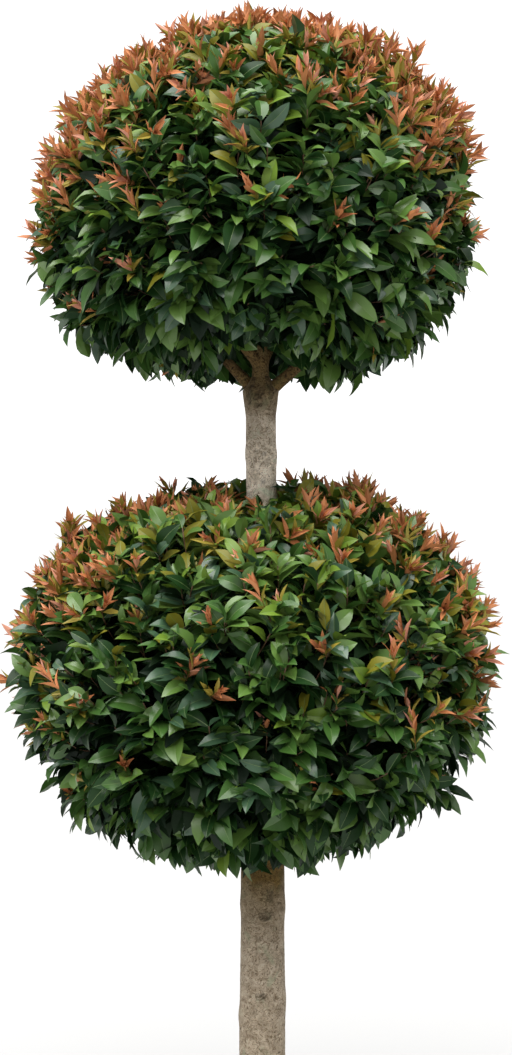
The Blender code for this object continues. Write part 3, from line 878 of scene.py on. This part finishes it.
def inner_weights(head, points, tone):
    """Dark gives way to green evenly with the crown's share: painted shade inside the head gives way to
    painted light in the crown.
    """
    crown = crown_share(head, points)
    return 1.0 - 0.95 * crown, 0.95 * crown


def old_weights(head, points, tone):
    """Dark and blue-green fall, and green rises, evenly with the crown's share: painted shade inside the
    head gives way to painted light in the crown.
    """
    crown = crown_share(head, points)
    return 0.7 - 0.6 * crown, 0.3 - 0.2 * crown, 2.4 * crown


def full_weights(head, points, tone):
    """Weights of deep, green, bright, grey, lime and olive. Deep falls evenly with the height and the
    spray's tone: painted shade, heaviest at the foot and on the lower head. Green falls, and bright, lime
    and olive rise, with the height's fourth power, bright as painted light on the crown. Bright rises with
    the tone too, and grey without it, and both rise towards the foot with the square of the height's rest,
    as painted highlights and a painted sheen of the sky."""
    high = np.clip(height_share(head, points), 0.0, 1.0)
    low = (1.0 - high) ** 2
    top = high**4
    deep = np.maximum(0.92 + head.age - 0.92 * high - 0.24 * tone, 0.0) + fork_shade(points)
    green = 0.46 - 0.38 * top
    bright = 0.26 + 0.34 * high**2 * tone + 0.16 * low + 0.30 * top
    grey = 0.04 + 0.24 * high * (1.0 - tone) + 0.20 * low
    return deep, green, bright, grey, 0.05 * low + 0.70 * top, 0.004 + 0.60 * top


def young_weights(head, points, tone):
    """Weights of the same six shades. Deep, a painted shade, falls as the square of the height's rest and is
    heavier on the lower head; green falls evenly, and lime and olive rise with the height's fourth power."""
    high = np.clip(height_share(head, points), 0.0, 1.0)
    top = high**4
    deep = 0.60 * (1.0 - high) ** 2 + head.age + fork_shade(points)
    return deep, 0.50 - 0.32 * high, 0.36, 0.10, 0.03 + 0.75 * top, 0.008 + 0.95 * top


def pairs_of_leaves(head, grown, kind, tone, chance):
    """Opposite leaves at each pair's place on every twig, each pair turned a quarter from the last. They
    lean out from the twig, droop, turn their upper sides outwards and up, and keep their tips under the
    clipped surface."""
    parts = []
    for number, pair in enumerate(kind.pairs):
        here, along, side, other = around_twigs(grown, pair.at)
        for opposite in (0.0, math.pi):
            count = len(here)
            turn = (grown.turns + opposite + (number + round(pair.at * 4.0)) * math.pi / 2
                    + chance.normal(0.0, PAIR_STRAY, count))[:, None]
            lean = np.radians(pair.lean + chance.normal(0.0, LEAN_STRAY, count))[:, None]
            radial = (side * np.cos(turn) + other * np.sin(turn)) * (1.0, 1.0, LEAF_LEVELLING)
            high = np.clip(height_share(head, here), 0.0, 1.0)
            lengths = pair.length * np.clip(chance.normal(1.0, LENGTH_STRAY, count), *LENGTH_LIMITS)
            lengths = lengths * (1.0 + LEAF_LONGER_BELOW * (0.5 - high))
            droop = np.interp(high, LEAF_DROOP_LEVELS, LEAF_DROOP) * chance.uniform(*DROOP_UNEVENNESS, count)
            ways = unit(along * np.cos(lean) + radial * np.sin(lean) - droop[:, None] * (0.0, 0.0, 1.0))
            out = unit(here - head.centre)
            cover = chance.uniform(*LEAF_COVER, count) + LEAF_COVER_UNDER_GROWTH * growth_share(head, here)
            cover = cover + LEAF_COVER_AT_FOOT * np.clip(1.0 - high / LEAF_COVER_FOOT_LEVEL, 0.0, 1.0)
            proud = np.maximum(cover - depth_of(head, here + ways * lengths[:, None]), 0.0)
            ways = unit(ways * lengths[:, None] - out * proud[:, None])
            turned = np.interp(high, LEAF_LEVELS, LEAF_TURN)[:, None] * chance.normal(0.0, 1.0, out.shape)
            facing = unit(out * (1.0, 1.0, 0.0)) * np.interp(high, LEAF_LEVELS, LEAF_FACING)[:, None]
            faces = square_to(ways, out * LEAF_TO_OUT + facing + (0.0, 0.0, LEAF_TO_SKY) + turned)
            half_widths = lengths * LEAF_SLIMNESS / 2 * chance.uniform(*WIDTH_UNEVENNESS, count)
            shades = dealt(kind.weights(head, here, tone), chance)
            tips = here + ways * lengths[:, None]
            clear = limb_gap(here + ways * lengths[:, None] * 0.6) > LIMB_MARGIN
            clear &= limb_gap(tips) > TIP_MARGIN
            clear &= (from_fork(tips) > 1.0) | (tips[:, 1] > FORK_BACK)
            clear &= chance.random(count) < np.interp(high, KEPT_LEVELS, (kind.kept_below, 1.0))
            parts.append([part[clear] for part in (here, ways, faces, lengths, half_widths, shades)])
    return Leaves(*(np.concatenate(part) for part in zip(*parts)))


# A kind of leaves: its piece's name, its pairs, its outline, whether it has a midrib, how much it arches and
# folds, its shades, the share that is kept at a head's foot, and its shades' weights.
Kind = namedtuple("Kind", "name pairs shape ribbed arch fold shades kept_below weights")
INNER_LEAVES = Kind("_inner_leaves", INNER_PAIRS, INNER_LEAF_SHAPE, False, 0.13, 0.42, inner_shades, 1.0,
                    inner_weights)
OLD_LEAVES = Kind("_old_leaves", OLD_PAIRS, OLD_LEAF_SHAPE, False, 0.14, 0.34, old_shades, 1.0, old_weights)
FULL_LEAVES = Kind("_leaves", OUTER_PAIRS, LEAF_SHAPE, True, 0.14, 0.28, full_shades, KEPT_BELOW,
                   full_weights)
YOUNG_LEAVES = Kind("_young_leaves", YOUNG_PAIRS, LEAF_SHAPE, True, 0.11, 0.38, full_shades, KEPT_BELOW,
                    young_weights)

for head in HEADS:
    chance = np.random.default_rng(head.seed + 2)
    # A spray leans to one shade: its tone is the same for all the leaves of one twig.
    tone = chance.random(len(twigs_of[head.node].starts))
    for kind in (INNER_LEAVES, OLD_LEAVES, FULL_LEAVES, YOUNG_LEAVES):
        grown = inner_twigs_of[head.node] if kind is INNER_LEAVES else twigs_of[head.node]
        leaves = pairs_of_leaves(head, grown, kind, tone, chance)
        piece = leaf_piece(head.node + kind.name, leaves, kind.shape, kind.ribbed, kind.arch, kind.fold,
                           kind.shades, chance)
        stand_for(piece, head.node)

# New growth is the soft flush at the twigs' ends: short upright shoots with pairs of narrow leaves in steep
# Vs, orange-brown to salmon, olive at the shoot's foot. It crowds the top of each head and thins out
# downwards.

# A twig in growth bears up to three shoots: each one's share of the twig, its odds, how far it leans aside,
# and its length as a share of the first one's.
Shoot = namedtuple("Shoot", "at odds lean size")
SHOOTS = (Shoot(1.0, 1.0, 0.35, 1.0), Shoot(0.93, 0.80, 0.80, 0.75), Shoot(0.86, 0.70, 0.80, 0.75))
SHOOT_LENGTH = (0.022, 0.050)
SHOOT_RADII = (0.0009, 0.0005)
# How a shoot points: outwards, up, and a random way. Each is turned so far from the last one on its twig.
SHOOT_OUT = 0.50
SHOOT_UP = 0.70
SHOOT_STRAY = 0.18
SHOOT_TURN = 2.4
SHOOT_BOW = 0.002
# How far under the clipped surface shoots' tips end, how much further on top, rising from one share of the
# height over another, and how far their last leaves reach past them.
SHOOT_COVER = (-0.018, 0.014)
SHOOT_COVER_ON_TOP = 0.017
SHOOT_TOP_FROM = 0.6
SHOOT_TOP_RISE = 0.3
SHOOT_TIP_REACH = 0.014
# How much further the shoots of one clump stand out than those of another, and the clumps' size.
SHOOT_CLUMPS = (0.044, 0.030)
SHOOT_SHAPE = ((0.0, 0.0), (0.20, 0.62), (0.45, 1.0), (0.74, 0.62), (1.0, 0.0))
SHOOT_PAIRS = (Pair(0.16, 0.031, 48.0), Pair(0.42, 0.033, 38.0), Pair(0.66, 0.031, 29.0),
               Pair(0.86, 0.026, 20.0), Pair(1.0, 0.018, 11.0))
SHOOT_SLIMNESS = 0.25
SHOOT_PAIR_SIZES = (0.75, 1.2)
SHOOT_LEAF_SIZES = (0.9, 1.1)
SHOOT_PAIR_STRAY = 0.15
SHOOT_LEAN_STRAY = 6.0
# Narrow leaves face the shoot's tip, turned in to the shoot by this much, and a random way.
SHOOT_LEAF_INWARD = 0.4
SHOOT_FACE_STRAY = 0.1

growth_shades = [plain("growth_olive", (0.300, 0.240, 0.036), 0.46, 0.35),
                 plain("growth_brown", (0.380, 0.143, 0.055), 0.46, 0.35),
                 plain("growth_orange", (0.525, 0.204, 0.078), 0.48, 0.35),
                 plain("growth_salmon", (0.555, 0.246, 0.157), 0.48, 0.35)]
shoot_green = plain("shoot_stem", (0.230, 0.130, 0.035), 0.5, 0.55)


def grow_shoots(head, grown, chance):
    """Shoots from the twigs that are in growth: one at the twig's end and up to two beside it, all
    rising."""
    parts = []
    for number, shoot in enumerate(SHOOTS):
        here, along, side, other = around_twigs(grown, shoot.at)
        growing = chance.random(len(here)) < growth_share(head, here) * shoot.odds
        out = unit(here - head.centre)
        turn = (grown.turns + number * SHOOT_TURN)[:, None]
        radial = (side * np.cos(turn) + other * np.sin(turn)) * shoot.lean
        stray = chance.normal(0.0, SHOOT_STRAY, here.shape)
        ways = unit(out * SHOOT_OUT + (0.0, 0.0, SHOOT_UP) + radial + stray)
        lengths = chance.uniform(*SHOOT_LENGTH, len(here)) * shoot.size
        top = np.clip((height_share(head, here) - SHOOT_TOP_FROM) / SHOOT_TOP_RISE, 0.0, 1.0)
        cover = chance.uniform(*SHOOT_COVER, len(here)) + SHOOT_COVER_ON_TOP * top
        cover = cover - uneven(here, *SHOOT_CLUMPS, head.seed)
        proud = np.maximum(cover - depth_of(head, here + ways * (lengths + SHOOT_TIP_REACH)[:, None]), 0.0)
        ends = here + ways * lengths[:, None] - out * proud[:, None]
        growing &= limb_gap(ends) > LIMB_MARGIN
        bends = (here + ends) / 2 + out * SHOOT_BOW
        parts.append([part[growing] for part in (here, bends, ends, grown.turns + number)])
    return Twigs(*(np.concatenate(part) for part in zip(*parts)))


def growth_weights(head, points, tone, ripe):
    """Weights of olive, brown, orange and salmon. Olive goes with the square of how unripe a leaf is, from
    the shoot's foot to its tip, and brown with that of one less the tone. Orange rises with the ripeness,
    and salmon with it and the tone's square. Where growth is thickest hardly any leaf is olive or brown."""
    older = 1.0 - 0.95 * growth_at(head, points)
    olive = older * ((1.0 - ripe) ** 2 + 0.08)
    brown = older * (0.04 + 0.90 * (1.0 - tone) ** 2)
    return olive, brown, 0.34 + 0.4 * ripe, (0.10 + 0.80 * ripe) * tone**2


def leaves_of_shoots(head, shoots, chance):
    """Opposite narrow leaves up every shoot, each pair turned a quarter from the last, steeper towards the
    tip."""
    parts = []
    # A shoot leans to one shade: its tone is low where it is brown and high where it is salmon.
    tone = chance.random(len(shoots.starts))
    for number, pair in enumerate(SHOOT_PAIRS):
        here, along, side, other = around_twigs(shoots, pair.at)
        count = len(here)
        size = chance.uniform(*SHOOT_PAIR_SIZES, count)
        ripe = np.full(count, number / (len(SHOOT_PAIRS) - 1))
        for opposite in (0.0, math.pi):
            stray = chance.normal(0.0, SHOOT_PAIR_STRAY, count)
            turn = (shoots.turns + opposite + number * math.pi / 2 + stray)[:, None]
            lean = np.radians(pair.lean + chance.normal(0.0, SHOOT_LEAN_STRAY, count))[:, None]
            radial = side * np.cos(turn) + other * np.sin(turn)
            ways = unit(along * np.cos(lean) + radial * np.sin(lean))
            inward = along - radial * SHOOT_LEAF_INWARD + chance.normal(0.0, SHOOT_FACE_STRAY, ways.shape)
            lengths = pair.length * size * chance.uniform(*SHOOT_LEAF_SIZES, count)
            half_widths = lengths * SHOOT_SLIMNESS / 2 * chance.uniform(*WIDTH_UNEVENNESS, count)
            shades = dealt(growth_weights(head, here, tone, ripe), chance)
            parts.append((here, ways, square_to(ways, inward), lengths, half_widths, shades))
    return Leaves(*(np.concatenate(part) for part in zip(*parts)))


for head in HEADS:
    chance = np.random.default_rng(head.seed + 3)
    shoots = grow_shoots(head, twigs_of[head.node], chance)
    stems = tubes(head.node + "_shoots", curved_paths(shoots[:3], rings=3), SHOOT_RADII, shoot_green)
    stand_for(stems, head.node)
    growth = leaves_of_shoots(head, shoots, chance)
    piece = leaf_piece(head.node + "_new_growth", growth, SHOOT_SHAPE, False, 0.05, 0.60, growth_shades,
                       chance)
    stand_for(piece, head.node)

# The plant stands on level pale ground under a soft high light, as on an overcast day. The sky is white near
# the horizon and greyer above, and brighter behind the plant than before it.

GROUND_HALF_SIZE = 30.0
CORNERS = ((-1.0, -1.0), (1.0, -1.0), (1.0, 1.0), (-1.0, 1.0))

ground = bpy.data.meshes.new("ground")
corners = [(x * GROUND_HALF_SIZE, y * GROUND_HALF_SIZE, 0.0) for x, y in CORNERS]
ground.from_pydata(corners, [], [(0, 1, 2, 3)])
ground.materials.append(plain("pale_ground", (0.46, 0.46, 0.46), 0.95, 0.0))
floor = bpy.data.objects.new("ground", ground)
bpy.context.scene.collection.objects.link(floor)

sky = bpy.data.worlds.new("sky")
sky.use_nodes = True
sky_nodes, sky_links = sky.node_tree.nodes, sky.node_tree.links
sky_way = sky_nodes.new("ShaderNodeTexCoord")
sky_parts = sky_nodes.new("ShaderNodeSeparateXYZ")
sky_links.new(sky_way.outputs["Generated"], sky_parts.inputs["Vector"])
sky_tone = sky_nodes.new("ShaderNodeValToRGB")
sky_steps = ((0.20, (1.0, 1.0, 1.0, 1.0)), (0.30, (0.30, 0.31, 0.33, 1.0)))
for stop, (level, colour) in zip(sky_tone.color_ramp.elements, sky_steps):
    stop.position = level
    stop.color = colour
sky_links.new(sky_parts.outputs["Z"], sky_tone.inputs["Fac"])
sky_links.new(sky_tone.outputs["Color"], sky_nodes["Background"].inputs["Color"])
sky_strength = sky_nodes.new("ShaderNodeMapRange")
for socket, value in (("From Min", -0.7), ("From Max", 0.4), ("To Min", 0.75), ("To Max", 1.25)):
    sky_strength.inputs[socket].default_value = value
sky_links.new(sky_parts.outputs["Y"], sky_strength.inputs["Value"])
sky_links.new(sky_strength.outputs["Result"], sky_nodes["Background"].inputs["Strength"])
bpy.context.scene.world = sky

HIGH_LIGHT_FROM = (-0.12, -0.34, 1.0)
high_light = bpy.data.lights.new("high_light", "SUN")
high_light.energy = 6.6
high_light.angle = math.radians(70.0)
high_light.color = (1.0, 0.99, 0.97)
holder = bpy.data.objects.new("high_light", high_light)
holder.rotation_euler = Vector(HIGH_LIGHT_FROM).to_track_quat("Z", "Y").to_euler()
bpy.context.scene.collection.objects.link(holder)

bpy.context.scene.view_settings.view_transform = "Standard"

# The camera looks along +Y from the level of the bare stem between the heads, as the photograph does.

CAMERA_PLACE = (-0.0084, -3.4, 1.152)
CAMERA_DIP = 2.3
CAMERA_LENS = 82.5

lens = bpy.data.cameras.new("camera")
lens.sensor_width = 36.0
lens.lens = CAMERA_LENS
camera = bpy.data.objects.new("camera", lens)
camera.location = CAMERA_PLACE
camera.rotation_euler = (math.radians(90.0 - CAMERA_DIP), 0.0, 0.0)
bpy.context.scene.collection.objects.link(camera)
bpy.context.scene.camera = camera
